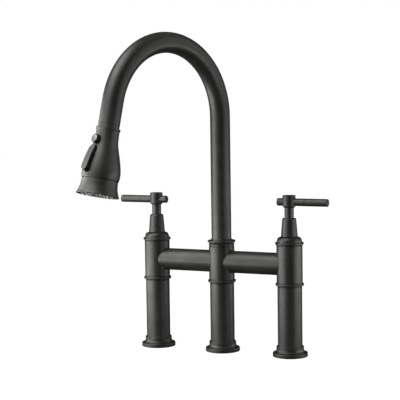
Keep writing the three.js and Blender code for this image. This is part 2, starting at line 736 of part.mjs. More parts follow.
// A tool or piece drawn pointing along +Z, turned to point out of the grip's front.
function atFront(geometry, depth, reach, lean) {
  return geometry.rotateX(Math.PI / 2 - lean).translate(0, -reach, -depth);
}

function buttonAt(geometry) {
  return atFront(geometry, BUTTON_AT, BUTTON_DEPTH, BUTTON_LEAN);
}

function oblongBlock(halfWidth, length, sunk, proud, rounding) {
  const shape = oblong(halfWidth - rounding, length - 2 * rounding);
  const depth = sunk + proud - 2 * rounding;
  const block = new THREE.ExtrudeGeometry(shape, {
    depth,
    curveSegments: OBLONG_STEPS,
    bevelEnabled: rounding > 0,
    bevelThickness: rounding,
    bevelSize: rounding,
    bevelSegments: 1,
  });
  return block.translate(0, 0, rounding - sunk);
}

function sprayGrip() {
  const buttonHole = buttonAt(rod(BUTTON_RADIUS + FIT, -BUTTON_HOLE_DEPTH, BUTTON_PROUD, OUTER_SIDES));
  const wide = ROCKER_HALF_WIDTH + SLOT_FIT;
  const long = ROCKER_LENGTH + 2 * SLOT_FIT;
  const block = oblongBlock(wide, long, SLOT_DEPTH, SLOT_DEPTH, 0);
  const slot = atFront(block, ROCKER_AT, PIN_DEPTH, ROCKER_LEAN);
  const pinReach = PIN_HALF_LENGTH + FIT;
  const pinHole = alongX(rod(PIN_RADIUS + FIT, -pinReach, pinReach, SMALL_SIDES));
  return carve(sprayGripShell(), buttonHole, slot, pinHole.translate(0, -PIN_DEPTH, -ROCKER_AT));
}

function modeRocker() {
  const block = oblongBlock(ROCKER_HALF_WIDTH, ROCKER_LENGTH, ROCKER_SUNK, ROCKER_PROUD, ROCKER_ROUNDING);
  const reach = ROCKER_HALF_WIDTH + FIT;
  const pinBore = alongX(rod(PIN_RADIUS + FIT, -reach, reach, SMALL_SIDES));
  return atFront(carve(block, pinBore), ROCKER_AT, PIN_DEPTH, ROCKER_LEAN);
}

function rockerPin() {
  return alongX(rod(PIN_RADIUS, -PIN_HALF_LENGTH, PIN_HALF_LENGTH, SMALL_SIDES))
    .translate(0, -PIN_DEPTH, -ROCKER_AT);
}

function sprayButton() {
  return buttonAt(turned([
    [0, -BUTTON_SUNK - BUTTON_STEM_LENGTH],
    [BUTTON_STEM_RADIUS, -BUTTON_SUNK - BUTTON_STEM_LENGTH],
    [BUTTON_STEM_RADIUS, -BUTTON_SUNK],
    [BUTTON_RADIUS, -BUTTON_SUNK],
    [BUTTON_RADIUS, BUTTON_PROUD - BUTTON_ROUNDING],
    [BUTTON_RADIUS - BUTTON_ROUNDING, BUTTON_PROUD],
    [0, BUTTON_PROUD],
  ]));
}

class SpringLine extends THREE.Curve {
  getPoint(t, target = new THREE.Vector3()) {
    const angle = t * SPRING_TURNS * 2 * Math.PI;
    const height = t * (SPRING_LENGTH - 2 * SPRING_WIRE) + SPRING_WIRE;
    return target.set(SPRING_RADIUS * Math.cos(angle), SPRING_RADIUS * Math.sin(angle), height);
  }
}

function buttonSpring() {
  const wire = circle(SPRING_WIRE, SPRING_SIDES);
  const spring = new THREE.ExtrudeGeometry(wire, { steps: SPRING_STEPS, extrudePath: new SpringLine() });
  return buttonAt(spring.translate(0, 0, -BUTTON_SUNK - FIT - SPRING_LENGTH));
}

function diverterCore() {
  const core = turnedDown([
    [WATER_BORE, CORE_PLATE_BOTTOM],
    [CORE_PLATE_RADIUS, CORE_PLATE_BOTTOM],
    [CORE_PLATE_RADIUS, CORE_PLATE_TOP],
    [CORE_RADIUS, CORE_PLATE_TOP],
    [CORE_RADIUS, CORE_TOP + CORE_FLANGE],
    [CORE_FLANGE_RADIUS, CORE_TOP + CORE_FLANGE],
    [CORE_FLANGE_RADIUS, CORE_TOP],
    [WATER_BORE, CORE_TOP],
  ], GRIP_SIDES);
  const valveBore = buttonAt(rod(BUTTON_STEM_RADIUS + FIT, -BUTTON_DEPTH + WATER_BORE, 0, SMALL_SIDES));
  return carve(core, valveBore);
}

function hoseNut() {
  return turnedDown([
    [WATER_BORE, GRIP_FLOOR],
    [HOSE_NUT_RADIUS, GRIP_FLOOR],
    [HOSE_NUT_RADIUS, HOSE_NUT_TOP],
    [HOSE_RADIUS + FIT, HOSE_NUT_TOP],
    [HOSE_RADIUS + FIT, HOSE_NUT_TOP + HOSE_NUT_SOCKET],
    [WATER_BORE, HOSE_NUT_TOP + HOSE_NUT_SOCKET],
  ], INNER_SIDES);
}

function sprayBell() {
  const outside = smoothOutline(BELL_OUTLINE, BELL_OUTLINE_STEPS);
  const [rim, rimDepth] = outside.at(-1);
  const spigot = GRIP_MOUTH - FIT;
  const inside = outside.filter(([, depth]) => depth > BELL_TOP + BELL_WALL && depth < NOZZLE_PLATE_TOP);
  const cavity = inside.map(([radius, depth]) => [radius - BELL_WALL, depth]);
  return turnedDown([
    [FACE_RADIUS + FIT, rimDepth],
    [rim, rimDepth],
    ...outside.slice(0, -1).toReversed(),
    [spigot, BELL_TOP],
    [spigot, BELL_SPIGOT_TOP],
    [spigot - BELL_SPIGOT_WALL, BELL_SPIGOT_TOP],
    [spigot - BELL_SPIGOT_WALL, BELL_TOP],
    ...cavity,
    [NOZZLE_PLATE_RADIUS + FIT, NOZZLE_PLATE_TOP],
    [NOZZLE_PLATE_RADIUS + FIT, FACE_BACK - FIT],
    [FACE_RADIUS + FIT, FACE_BACK - FIT],
  ], GRIP_SIDES);
}

// One copy of a tool for each nozzle, round the face.
function nozzleRow(radius, top, bottom) {
  const nozzle = turnedDown([[0, bottom], [radius, bottom], [radius, top], [0, top]], NOZZLE_SIDES);
  return Array.from({ length: NOZZLE_COUNT }, (_, i) => {
    return nozzle.clone().translate(NOZZLE_CIRCLE, 0, 0).rotateZ((2 * Math.PI * i) / NOZZLE_COUNT);
  });
}

function sprayFace() {
  const crownZ = FACE_BACK + FACE_EDGE;
  const disc = turnedDown([
    [AERATOR_RADIUS + FIT, crownZ + FACE_CROWN],
    ...bow(0, crownZ, FACE_RADIUS, FACE_CROWN, 70, 0, 3),
    [FACE_RADIUS, FACE_BACK],
    [AERATOR_RADIUS + FIT, FACE_BACK],
  ]);
  return carve(disc, ...nozzleRow(NOZZLE_RADIUS + FIT, FACE_BACK - FIT, NOZZLE_TIP + FIT));
}

function nozzleRing() {
  const plate = turnedDown([
    [NOZZLE_PLATE_BORE, NOZZLE_PLATE_BOTTOM],
    [NOZZLE_PLATE_RADIUS, NOZZLE_PLATE_BOTTOM],
    [NOZZLE_PLATE_RADIUS, NOZZLE_PLATE_TOP + FIT],
    [NOZZLE_PLATE_BORE, NOZZLE_PLATE_TOP + FIT],
  ]);
  return weld(plate, ...nozzleRow(NOZZLE_RADIUS, NOZZLE_PLATE_BOTTOM - FIT, NOZZLE_TIP));
}

function aerator() {
  const bottom = FACE_BACK + FACE_EDGE + FACE_CROWN - FIT;
  return turnedDown([
    [0, bottom],
    [AERATOR_RADIUS, bottom],
    [AERATOR_RADIUS, bottom - AERATOR_LENGTH],
    [AERATOR_RADIUS - AERATOR_WALL, bottom - AERATOR_LENGTH],
    [AERATOR_RADIUS - AERATOR_WALL, bottom - AERATOR_WALL],
    [0, bottom - AERATOR_WALL],
  ], INNER_SIDES);
}

function hoseEndFitting() {
  return turned([
    [WATER_BORE, 0],
    [HOSE_FITTING_RADIUS, 0],
    [HOSE_FITTING_RADIUS, HOSE_FITTING_HEIGHT],
    [HOSE_RADIUS + FIT, HOSE_FITTING_HEIGHT],
    [HOSE_RADIUS + FIT, HOSE_FOOT_Z - FIT],
    [WATER_BORE, HOSE_FOOT_Z - FIT],
  ], INNER_SIDES);
}

// Assembly ---------------------------------------------------------------------------------

const leftPost = groupOf(...endPostPieces('left'), ...handlePieces('left', -1));
leftPost.position.x = -LEG_SPACING;

const rightPost = groupOf(...endPostPieces('right'), ...handlePieces('right', 1));
rightPost.position.x = LEG_SPACING;
rightPost.getObjectByName('valve_body_right').rotation.z = Math.PI;

const leftBridge = piece('bridge_tube_left', bridgeTube(), MATTE_BLACK);
leftBridge.position.x = -LEG_SPACING;

const centrePost = groupOf(
  ...legPieces('centre'),
  piece('bridge_body', bridgeBody(), MATTE_BLACK),
  leftBridge,
  piece('bridge_tube_right', bridgeTube(), MATTE_BLACK),
  piece('mixed_water_tube', mixedWaterTube(), BRASS),
  piece('hose_end_fitting', hoseEndFitting(), BRASS),
);

const sprayHead = groupOf(
  piece('hose_nut', hoseNut(), BRASS),
  piece('spray_grip', sprayGrip(), MATTE_BLACK),
  piece('spray_bell', sprayBell(), MATTE_BLACK),
  piece('spray_face', sprayFace(), DARK_PLASTIC),
  piece('nozzle_ring', nozzleRing(), GREY_RUBBER),
  piece('aerator', aerator(), GREY_RUBBER),
  piece('diverter_core', diverterCore(), DARK_PLASTIC),
  piece('spray_button', sprayButton(), BUTTON_GREY),
  piece('button_spring', buttonSpring(), STEEL),
  piece('mode_rocker', modeRocker(), BUTTON_GREY),
  piece('rocker_pin', rockerPin(), STEEL),
  piece('dock_sleeve', turnedDown([
    [DOCK_BORE, SPOUT_TAIL - FIT],
    [SPOUT_BORE - FIT, SPOUT_TAIL - FIT],
    [SPOUT_BORE - FIT, DOCK_TOP],
    [DOCK_BORE, DOCK_TOP],
  ]), DARK_PLASTIC),
);
sprayHead.position.set(0, SPOUT_BEND_RADIUS * (-1 - Math.cos(SPOUT_TILT)),
  SPOUT_BEND_Z + SPOUT_BEND_RADIUS * Math.sin(SPOUT_TILT));
sprayHead.rotation.x = -SPOUT_TILT;

const spout = groupOf(
  piece('glide_ring', ring(GLIDE_RADIUS, SPOUT_SPIGOT_RADIUS + FIT, GLIDE_BOTTOM_Z,
    GLIDE_BOTTOM_Z + GLIDE_THICKNESS), DARK_PLASTIC),
  piece('spout_collar', spoutCollar(), MATTE_BLACK),
  piece('spout_spigot', spoutSpigot(), BRASS),
  piece('o_ring_lower', oRing(O_RING_STEPS[0]), BLACK_RUBBER),
  piece('o_ring_upper', oRing(O_RING_STEPS[1]), BLACK_RUBBER),
  piece('gooseneck', gooseneck(), MATTE_BLACK),
  piece('spray_hose', sprayHose(), BRAIDED_NYLON),
  sprayHead,
);
spout.rotation.z = SPOUT_TURN;

export default groupOf(leftPost, centrePost, rightPost, spout);
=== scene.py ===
"""Bridge kitchen faucet in matte black: the finished look of every piece.

Lengths are written in millimetres and turned into metres by MM. The origin is on the deck,
on the axis of the centre leg; +X runs along the bridge and -Y points at the sink.
"""

import json
import math

import bpy
from mathutils import Matrix, Vector

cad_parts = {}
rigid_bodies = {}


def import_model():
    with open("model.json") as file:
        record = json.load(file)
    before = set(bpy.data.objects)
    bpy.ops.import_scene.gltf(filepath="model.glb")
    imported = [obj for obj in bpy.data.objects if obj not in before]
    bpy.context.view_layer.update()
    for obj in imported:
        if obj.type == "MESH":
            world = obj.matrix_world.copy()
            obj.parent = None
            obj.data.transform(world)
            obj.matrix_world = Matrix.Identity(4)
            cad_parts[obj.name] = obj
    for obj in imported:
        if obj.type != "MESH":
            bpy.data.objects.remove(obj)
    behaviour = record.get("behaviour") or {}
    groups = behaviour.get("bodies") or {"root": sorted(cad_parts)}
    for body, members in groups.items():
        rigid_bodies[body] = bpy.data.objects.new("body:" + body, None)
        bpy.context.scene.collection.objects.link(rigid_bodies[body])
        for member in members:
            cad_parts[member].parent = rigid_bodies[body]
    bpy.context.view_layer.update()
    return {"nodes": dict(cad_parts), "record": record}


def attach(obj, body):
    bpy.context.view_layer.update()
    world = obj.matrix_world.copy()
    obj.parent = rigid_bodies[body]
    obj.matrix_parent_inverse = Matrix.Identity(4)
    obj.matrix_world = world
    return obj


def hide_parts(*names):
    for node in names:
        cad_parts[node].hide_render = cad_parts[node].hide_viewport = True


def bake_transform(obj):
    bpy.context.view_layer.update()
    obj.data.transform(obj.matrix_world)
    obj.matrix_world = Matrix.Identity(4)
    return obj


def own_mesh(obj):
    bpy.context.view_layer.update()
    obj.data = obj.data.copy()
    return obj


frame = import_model()

MM = 0.001
QUARTER = math.pi / 2
FULL_TURN = 2 * math.pi

# Layout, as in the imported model
LEG_SPACING = 101.6
BRIDGE_Z = 125.7
POSTS = {"left": -LEG_SPACING, "centre": 0.0, "right": LEG_SPACING}
SPOUT_TURN = -0.3217
SPOUT_TILT = 0.24
BEND_RADIUS = 99.97
BEND_Z = 326.65

# Roundness
TURN_SIDES = 96
SMALL_SIDES = 48
HOSE_SIDES = 32
NOZZLE_SIDES = 20
ARC_STEP = math.radians(15)
MERGE_DISTANCE = 2e-6
BEVEL_SEGMENTS = 4

# Edges that are sharper than this stay sharp
SMOOTH_ANGLE = math.radians(32)
FLAT_ANGLE = math.radians(10)
BEVEL_ANGLE = math.radians(40)


# Camera, floor and lights --------------------------------------------------------------------

# The camera that was fitted to the photograph, in millimetres
CAMERA_LENS = 109.12
CAMERA_SENSOR = 36
CAMERA_PLACE = Vector((709.01, -1525.52, 340.75))
CAMERA_RIGHT = Vector((0.89975, 0.43618, -0.01377))
CAMERA_UP = Vector((-0.02094, 0.07467, 0.99699))

# Points that the softboxes are aimed at
MIDDLE, DECK, SPRAY = (0, 0, 0.2), (0, 0, 0), (-0.06, -0.2, 0.25)

# Name, aim, azimuth, elevation, distance, size and brightness
SOFTBOXES = (
    ("softbox_left", MIDDLE, -30, 26, 1.2, (1.0, 1.0), 2.1),
    ("softbox_left_high", MIDDLE, -40, 58, 1.2, (1.15, 0.75), 4.9),
    ("softbox_left_side", SPRAY, -80, 6, 0.3, (0.27, 0.27), 5.0),
    ("softbox_left_low", DECK, -54, 2, 0.6, (0.9, 0.13), 13.5),
    ("softbox_right", MIDDLE, 112, 14, 1.3, (1.7, 1.6), 1.0),
    ("softbox_right_low", DECK, 100, 2, 0.75, (1.0, 0.16), 7.5),
    ("softbox_top", MIDDLE, 150, 62, 1.4, (1.2, 1.0), 0.35),
)
LAMP_TINT = (1.0, 1.0, 0.96)

FLOOR_SIZE = 12
FLOOR_DROP = 0.0002
FLOOR_GREY = 0.12
ROOM_TINT = (1, 0.99, 0.975, 1)
ROOM_LIGHT = 0.02

# The floor's glow to the camera runs from near to far over these distances from the faucet
NEAR_GLOW, FAR_GLOW = 0.955, 1.0
NEAR_REACH, FAR_REACH = 0.3, 0.9


def add_camera():
    camera = bpy.data.cameras.new("camera")
    camera.lens = CAMERA_LENS
    camera.sensor_width = CAMERA_SENSOR
    camera.clip_start = 0.05
    camera.clip_end = 50
    holder = bpy.data.objects.new("camera", camera)
    back = CAMERA_RIGHT.cross(CAMERA_UP)
    place = Matrix((CAMERA_RIGHT, CAMERA_UP, back)).transposed().to_4x4()
    place.translation = CAMERA_PLACE * MM
    holder.matrix_world = place
    bpy.context.scene.collection.objects.link(holder)
    bpy.context.scene.camera = holder


def add_softbox(name, aim, azimuth, elevation, distance, size, brightness):
    """A rectangular softbox. Azimuth 0 stands in front of the faucet, 90 on its right side."""
    lamp = bpy.data.lights.new(name, "AREA")
    lamp.shape = "RECTANGLE"
    lamp.size, lamp.size_y = size
    lamp.energy = brightness * math.pi * size[0] * size[1]
    lamp.color = LAMP_TINT
    turn, rise = math.radians(azimuth), math.radians(elevation)
    level = math.cos(rise)
    away = Vector((math.sin(turn) * level, -math.cos(turn) * level, math.sin(rise)))
    holder = bpy.data.objects.new(name, lamp)
    holder.location = Vector(aim) + away * distance
    holder.rotation_mode = "QUATERNION"
    holder.rotation_quaternion = (Vector(aim) - holder.location).to_track_quat("-Z", "Y")
    bpy.context.scene.collection.objects.link(holder)


def add_backdrop():
    """A white backdrop to the camera, and a plain dim room to the faucet's own surfaces."""
    world = bpy.data.worlds.new("studio")
    bpy.context.scene.world = world
    world.use_nodes = True
    nodes, links = world.node_tree.nodes, world.node_tree.links
    nodes.clear()
    out = nodes.new("ShaderNodeOutputWorld")
    paths = nodes.new("ShaderNodeLightPath")
    seen = nodes.new("ShaderNodeMath")
    seen.operation = "MAXIMUM"
    links.new(paths.outputs["Is Camera Ray"], seen.inputs[0])
    links.new(paths.outputs["Is Transmission Ray"], seen.inputs[1])
    white = nodes.new("ShaderNodeBackground")
    white.inputs["Color"].default_value = (1, 1, 1, 1)
    white.inputs["Strength"].default_value = 1
    room = nodes.new("ShaderNodeBackground")
    room.inputs["Color"].default_value = ROOM_TINT
    room.inputs["Strength"].default_value = ROOM_LIGHT
    mix = nodes.new("ShaderNodeMixShader")
    links.new(seen.outputs[0], mix.inputs["Fac"])
    links.new(room.outputs[0], mix.inputs[1])
    links.new(white.outputs[0], mix.inputs[2])
    links.new(mix.outputs[0], out.inputs["Surface"])


def between(nodes, links, share, low, high, low_at=0.35, high_at=0.65):
    """A value that runs from low to high as the share runs from low_at to high_at."""
    span = nodes.new("ShaderNodeMapRange")
    span.inputs["From Min"].default_value = low_at
    span.inputs["From Max"].default_value = high_at
    span.inputs["To Min"].default_value = low
    span.inputs["To Max"].default_value = high
    links.new(share, span.inputs["Value"])
    return span.outputs["Result"]


def pale_floor():
    """A matt floor that keeps the shadow and looks white to the camera."""
    material = bpy.data.materials.new("pale_floor")
    material.use_nodes = True
    nodes, links = material.node_tree.nodes, material.node_tree.links
    nodes.clear()
    out = nodes.new("ShaderNodeOutputMaterial")
    matt = nodes.new("ShaderNodeBsdfDiffuse")
    matt.inputs["Color"].default_value = (FLOOR_GREY, FLOOR_GREY, FLOOR_GREY, 1)
    glow = nodes.new("ShaderNodeEmission")
    glow.inputs["Color"].default_value = (1, 1, 1, 1)
    place = nodes.new("ShaderNodeTexCoord")
    reach = nodes.new("ShaderNodeVectorMath")
    reach.operation = "LENGTH"
    links.new(place.outputs["Object"], reach.inputs[0])
    fade = between(nodes, links, reach.outputs["Value"], NEAR_GLOW, FAR_GLOW, NEAR_REACH, FAR_REACH)
    links.new(fade, glow.inputs["Strength"])
    dark = nodes.new("ShaderNodeEmission")
    dark.inputs["Strength"].default_value = 0
    paths = nodes.new("ShaderNodeLightPath")
    lift = nodes.new("ShaderNodeMixShader")
    both = nodes.new("ShaderNodeAddShader")
    links.new(paths.outputs["Is Camera Ray"], lift.inputs["Fac"])
    links.new(dark.outputs[0], lift.inputs[1])
    links.new(glow.outputs[0], lift.inputs[2])
    links.new(matt.outputs[0], both.inputs[0])
    links.new(lift.outputs[0], both.inputs[1])
    links.new(both.outputs[0], out.inputs["Surface"])
    return material


def add_floor():
    bpy.ops.mesh.primitive_plane_add(size=FLOOR_SIZE, location=(0, 0, -FLOOR_DROP))
    floor = bpy.context.object
    floor.name = "floor"
    floor.data.materials.append(pale_floor())


bpy.context.scene.view_settings.view_transform = "Standard"
add_camera()
for softbox in SOFTBOXES:
    add_softbox(*softbox)
add_backdrop()
add_floor()


# Modelling helpers ---------------------------------------------------------------------------

def clear_selection():
    if bpy.context.object and bpy.context.object.mode != "OBJECT":
        bpy.ops.object.mode_set(mode="OBJECT")
    bpy.ops.object.select_all(action="DESELECT")


def pick(obj):
    """Selects this object alone."""
    clear_selection()
    obj.select_set(True)
    bpy.context.view_layer.objects.active = obj
    return obj


def eased(corners):
    """An outline in which each corner is rounded by its third number."""
    points = []
    for i, corner in enumerate(corners):
        at = Vector(corner[:2])
        if len(corner) < 3:
            points.append(at)
            continue
        before = Vector(corners[i - 1][:2]) - at
        after = Vector(corners[(i + 1) % len(corners)][:2]) - at
        half = before.angle(after) / 2
        cut = min(corner[2] / math.tan(half), before.length * 0.499, after.length * 0.499)
        radius = cut * math.tan(half)
        middle = (before.normalized() + after.normalized()).normalized()
        centre = at + middle * (radius / math.sin(half))
        start = at + before.normalized() * cut - centre
        end = at + after.normalized() * cut - centre
        first = math.atan2(start.y, start.x)
        sweep = (math.atan2(end.y, end.x) - first + math.pi) % FULL_TURN - math.pi
        steps = max(2, math.ceil(abs(sweep) / ARC_STEP))
        for k in range(steps + 1):
            angle = first + sweep * k / steps
            points.append(centre + Vector((math.cos(angle), math.sin(angle))) * radius)
    return points


def bent(start, pull, end, steps=8):
    """Outline points that bend smoothly from start to end, drawn towards pull."""
    start, pull, end = Vector(start), Vector(pull), Vector(end)
    shares = [k / steps for k in range(steps + 1)]
    return [tuple(start * (1 - t) ** 2 + pull * 2 * t * (1 - t) + end * t * t) for t in shares]


def drawn(name, outline):
    """A chain of edges in the XZ plane, drawn corner by corner; it is left in edit mode."""
    clear_selection()
    bpy.ops.mesh.primitive_plane_add(size=MM, location=(0, 0, 0))
    obj = bpy.context.object
    obj.name = name
    bpy.ops.object.mode_set(mode="EDIT")
    bpy.ops.mesh.merge(type="CENTER")
    bpy.ops.transform.translate(value=(outline[0].x * MM, 0, outline[0].y * MM))
    for near, far in zip(outline, outline[1:]):
        step = (far - near) * MM
        bpy.ops.mesh.extrude_region_move(TRANSFORM_OT_translate={"value": (step.x, 0, step.y)})
    return obj


def cleaned():
    """Joins doubled corners, turns the faces outwards and leaves edit mode."""
    bpy.ops.mesh.select_all(action="SELECT")
    bpy.ops.mesh.remove_doubles(threshold=MERGE_DISTANCE)
    bpy.ops.mesh.normals_make_consistent(inside=False)
    bpy.ops.object.mode_set(mode="OBJECT")


def turned(name, corners, sides=TURN_SIDES):
    """A piece turned on the lathe about Z from (radius, height, rounding) corners in mm."""
    outline = eased(corners)
    if corners[0][0] > 0:
        outline.append(outline[0])
    obj = drawn(name, outline)
    bpy.ops.mesh.select_all(action="SELECT")
    bpy.ops.mesh.spin(steps=sides, angle=FULL_TURN, center=(0, 0, 0), axis=(0, 0, 1))
    cleaned()
    return obj


def placed(obj, matrix):
    """Moves the mesh by the matrix and leaves the object at the origin."""
    pick(obj)
    obj.matrix_world = matrix @ obj.matrix_world
    bpy.ops.object.transform_apply(location=True, rotation=True, scale=True)
    return obj


def moved(obj, x=0.0, z=0.0):
    """Moves the mesh by millimetres."""
    return placed(obj, Matrix.Translation(Vector((x, 0, z)) * MM))


def copied(obj, name):
    """A copy of the piece with its own mesh."""
    pick(obj)
    bpy.ops.object.duplicate(linked=False)
    copy = bpy.context.object
    copy.name = name
    return copy


def cut_away(obj, tool, operation="DIFFERENCE"):
    """Cuts the tool's shape out of the piece, or keeps only what lies inside the tool."""
    pick(obj)
    cut = obj.modifiers.new("cut", "BOOLEAN")
    cut.operation = operation
    cut.solver = "EXACT"
    cut.object = tool
    bpy.ops.object.modifier_apply(modifier=cut.name)
    bpy.data.objects.remove(tool)
    return obj


def joined(pieces):
    """Makes one piece of several; the first keeps its name."""
    pick(pieces[0])
    for piece in pieces:
        piece.select_set(True)
    bpy.ops.object.join()
    return bpy.context.object


def bevelled(obj, width):
    """Rounds the sharp edges of the piece."""
    pick(obj)
    bevel = obj.modifiers.new("rounded_edges", "BEVEL")
    bevel.width = width * MM
    bevel.segments = BEVEL_SEGMENTS
    bevel.limit_method = "ANGLE"
    bevel.angle_limit = BEVEL_ANGLE
    bpy.ops.object.modifier_apply(modifier=bevel.name)
    return obj


def finished(obj, body, material, slot, *nodes, angle=SMOOTH_ANGLE):
    """Smooths the piece, gives it its finish and seats it on its body."""
    pick(obj)
    obj.data.materials.clear()
    obj.data.materials.append(material)
    bpy.ops.object.shade_smooth_by_angle(angle=angle)
    even = obj.modifiers.new("even_shading", "WEIGHTED_NORMAL")
    even.keep_sharp = True
    bpy.ops.object.modifier_apply(modifier=even.name)
    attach(obj, body)
    if nodes:
        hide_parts(*nodes)
    return obj


# Finishes ------------------------------------------------------------------------------------

def new_finish(name):
    """A material with its nodes, links, shader and object coordinates."""
    material = bpy.data.materials.new(name)
    material.use_nodes = True
    nodes, links = material.node_tree.nodes, material.node_tree.links
    shader = nodes["Principled BSDF"]
    place = nodes.new("ShaderNodeTexCoord").outputs["Object"]
    return material, nodes, links, shader, place


def speckle(nodes, links, place, scale, detail):
    """Noise at a scale in waves per metre."""
    noise = nodes.new("ShaderNodeTexNoise")
    noise.inputs["Scale"].default_value = scale
    noise.inputs["Detail"].default_value = detail
    links.new(place, noise.inputs["Vector"])
    return noise.outputs["Fac"]


def tinted(nodes, links, share, dark, light):
    """A colour between dark and light."""
    mix = nodes.new("ShaderNodeMix")
    mix.data_type = "RGBA"
    mix.inputs["A"].default_value = (*dark, 1)
    mix.inputs["B"].default_value = (*light, 1)
    links.new(share, mix.inputs["Factor"])
    return mix.outputs["Result"]


def summed(nodes, links, first, second, operation="ADD"):
    """The sum of two values, or what another operation makes of them."""
    result = nodes.new("ShaderNodeMath")
    result.operation = operation
    links.new(first, result.inputs[0])
    if isinstance(second, float):
        result.inputs[1].default_value = second
    else:
        links.new(second, result.inputs[1])
    return result.outputs[0]


def bumped(nodes, links, shader, height, strength, distance):
    bump = nodes.new("ShaderNodeBump")
    bump.inputs["Strength"].default_value = strength
    bump.inputs["Distance"].default_value = distance
    links.new(height, bump.inputs["Height"])
    links.new(bump.outputs["Normal"], shader.inputs["Normal"])


CLOUD_SCALE, CLOUD_DETAIL = 38.0, 3.0
SMEAR_SCALE, SMEAR_DETAIL = 90.0, 4.0
GRAIN_DETAIL = 2.0
GRAIN_STRENGTH = 0.35

# Edges start to look rubbed at the first pointiness and are fully rubbed at the second
RUB_START, RUB_FULL = 0.53, 0.62


def coated(name, dark, light, rough_low, rough_high, grain, grain_height, wear, metal=0.0,
           gloss=0.5):
    """A sprayed or moulded finish: cloudy colour, fine grain and edges rubbed brighter."""
    material, nodes, links, shader, place = new_finish(name)
    shader.inputs["Metallic"].default_value = metal
    shader.inputs["Specular IOR Level"].default_value = gloss
    cloud = speckle(nodes, links, place, CLOUD_SCALE, CLOUD_DETAIL)
    fine = speckle(nodes, links, place, grain, GRAIN_DETAIL)
    base = tinted(nodes, links, between(nodes, links, cloud, 0.0, 1.0), dark, light)
    edges = nodes.new("ShaderNodeNewGeometry").outputs["Pointiness"]
    rubbed = between(nodes, links, edges, 0.0, 1.0, RUB_START, RUB_FULL)
    patchy = summed(nodes, links, rubbed, between(nodes, links, cloud, 0.3, 1.0), "MULTIPLY")
    worn = nodes.new("ShaderNodeMix")
    worn.data_type = "RGBA"
    links.new(patchy, worn.inputs["Factor"])
    links.new(base, worn.inputs["A"])
    worn.inputs["B"].default_value = (*wear, 1)
    links.new(worn.outputs["Result"], shader.inputs["Base Color"])
    smears = speckle(nodes, links, place, SMEAR_SCALE, SMEAR_DETAIL)
    links.new(between(nodes, links, smears, rough_low, rough_high), shader.inputs["Roughness"])
    bumped(nodes, links, shader, fine, GRAIN_STRENGTH, grain_height)
    return material


MATTE_BLACK = coated(
    "matte_black_coating",
    dark=(0.0085, 0.0082, 0.0078),
    light=(0.0125, 0.012, 0.0115),
    rough_low=0.4,
    rough_high=0.47,
    grain=2600.0,
    grain_height=0.00003,
    wear=(0.035, 0.034, 0.032),
)
SPRAY_BLACK = coated(
    "spray_shell_black",
    dark=(0.014, 0.0137, 0.0132),
    light=(0.021, 0.0206, 0.0198),
    rough_low=0.42,
    rough_high=0.5,
    grain=3200.0,
    grain_height=0.00003,
    wear=(0.05, 0.049, 0.047),
    gloss=0.58,
)
BUTTON_BLACK = coated(
    "button_grey_plastic",
    dark=(0.03, 0.03, 0.029),
    light=(0.042, 0.041, 0.04),
    rough_low=0.4,
    rough_high=0.5,
    grain=3600.0,
    grain_height=0.00003,
    wear=(0.09, 0.09, 0.088),
)
BUTTON_GREY = coated(
    "satin_button_face",
    dark=(0.1, 0.1, 0.099),
    light=(0.14, 0.14, 0.138),
    rough_low=0.25,
    rough_high=0.34,
    grain=3600.0,
    grain_height=0.00002,
    wear=(0.3, 0.3, 0.295),
    gloss=0.8,
)
DARK_PLASTIC = coated(
    "dark_face_plastic",
    dark=(0.014, 0.014, 0.0138),
    light=(0.022, 0.022, 0.0215),
    rough_low=0.42,
    rough_high=0.55,
    grain=3000.0,
    grain_height=0.00003,
    wear=(0.0275, 0.0275, 0.0269),
)
NOZZLE_GREY = coated(
    "grey_silicone",
    dark=(0.5, 0.51, 0.51),
    light=(0.62, 0.63, 0.63),
    rough_low=0.5,
    rough_high=0.65,
    grain=2200.0,
    grain_height=0.00004,
    wear=(0.72, 0.73, 0.73),
)
AERATOR_GREY = coated(
    "grey_aerator_plastic",
    dark=(0.1, 0.1, 0.1),
    light=(0.15, 0.15, 0.15),
    rough_low=0.4,
    rough_high=0.55,
    grain=2600.0,
    grain_height=0.00004,
    wear=(0.25, 0.25, 0.25),
)
# Near-black, dull material that paints the shade in the recesses round the button and the rocker;
# it is painted shade on their side walls, not a colour of their plastic
SHADE_PAINT_BLACK = coated(
    "painted_shade_walls",
    dark=(0.003, 0.003, 0.003),
    light=(0.006, 0.006, 0.006),
    rough_low=0.6,
    rough_high=0.75,
    grain=2600.0,
    grain_height=0.00003,
    wear=(0.02, 0.02, 0.019),
    gloss=0.2,
)
BLACK_RUBBER = coated(
    "black_rubber",
    dark=(0.008, 0.008, 0.008),
    light=(0.016, 0.016, 0.0155),
    rough_low=0.6,
    rough_high=0.8,
    grain=1800.0,
    grain_height=0.00006,
    wear=(0.04, 0.04, 0.039),
)
BRASS = coated(
    "machined_brass",
    dark=(0.38, 0.27, 0.13),
    light=(0.45, 0.33, 0.17),
    rough_low=0.3,
    rough_high=0.42,
    grain=1500.0,
    grain_height=0.00001,
    wear=(0.56, 0.44, 0.26),
    metal=1.0,
)
CERAMIC = coated(
    "polished_ceramic",
    dark=(0.74, 0.73, 0.7),
    light=(0.82, 0.81, 0.79),
    rough_low=0.12,
    rough_high=0.2,
    grain=900.0,
    grain_height=0.00001,
    wear=(0.88, 0.87, 0.85),
)
STEEL = coated(
    "stainless_steel",
    dark=(0.42, 0.42, 0.41),
    light=(0.54, 0.54, 0.53),
    rough_low=0.24,
    rough_high=0.38,
    grain=2400.0,
    grain_height=0.00002,
    wear=(0.7, 0.7, 0.69),
    metal=1.0,
)


